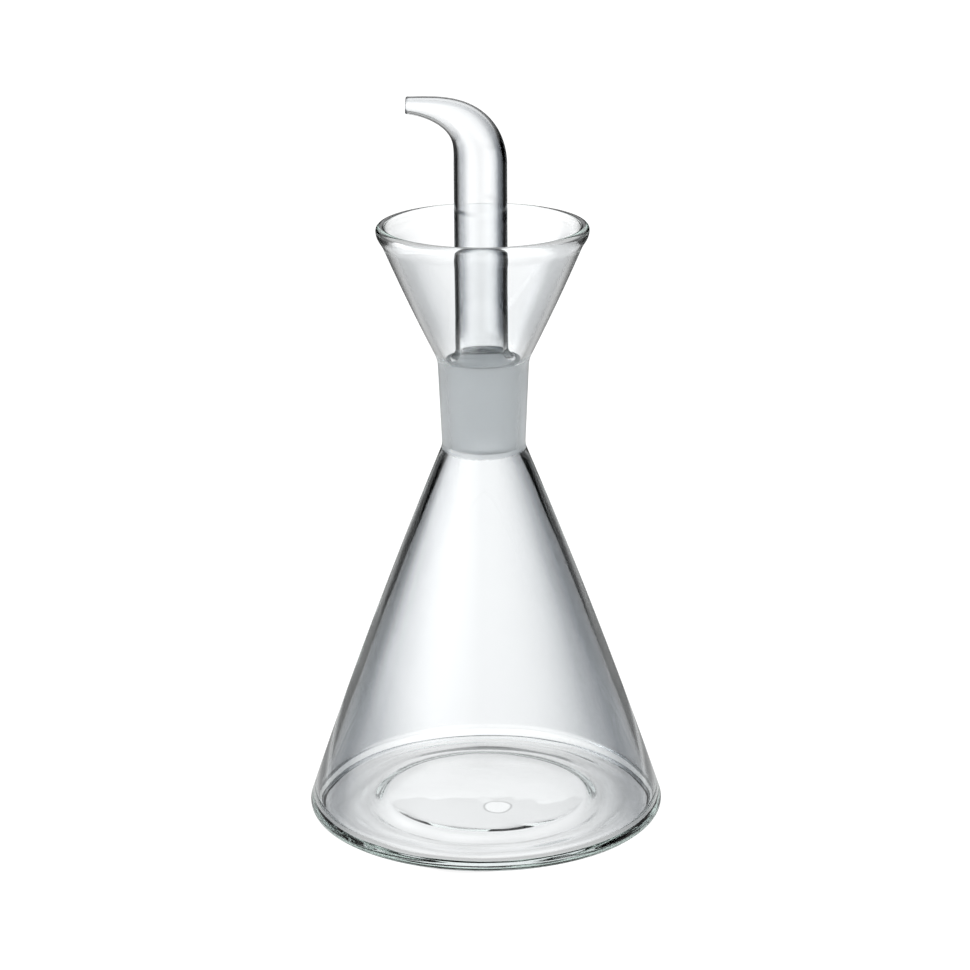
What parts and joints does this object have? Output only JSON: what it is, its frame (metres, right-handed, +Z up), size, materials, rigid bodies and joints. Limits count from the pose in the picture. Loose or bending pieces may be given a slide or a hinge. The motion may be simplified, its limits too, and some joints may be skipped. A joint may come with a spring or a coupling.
{
  "type": "glass oil cruet",
  "caption": "Clear glass oil cruet: conical flask with a funnel mouth and a ground neck, and a hollow pourer with a curved tapering spout seated in it.",
  "frame": {"origin": "on the flask's axis, at the height of the ring under the base that the cruet stands on", "axes": "+Z up along the flask's axis, -X the way the spout points"},
  "size_m": [0.095, 0.095, 0.1933],
  "materials": {
    "flask_glass": "clear and fire-polished, with the inside of the neck ground matt",
    "pourer_glass": "clear and fire-polished, with the outside of the cone ground matt"
  },
  "bodies": {
    "root": {"flask": "flask_glass", "pourer": "pourer_glass"}
  },
  "joints": []
}
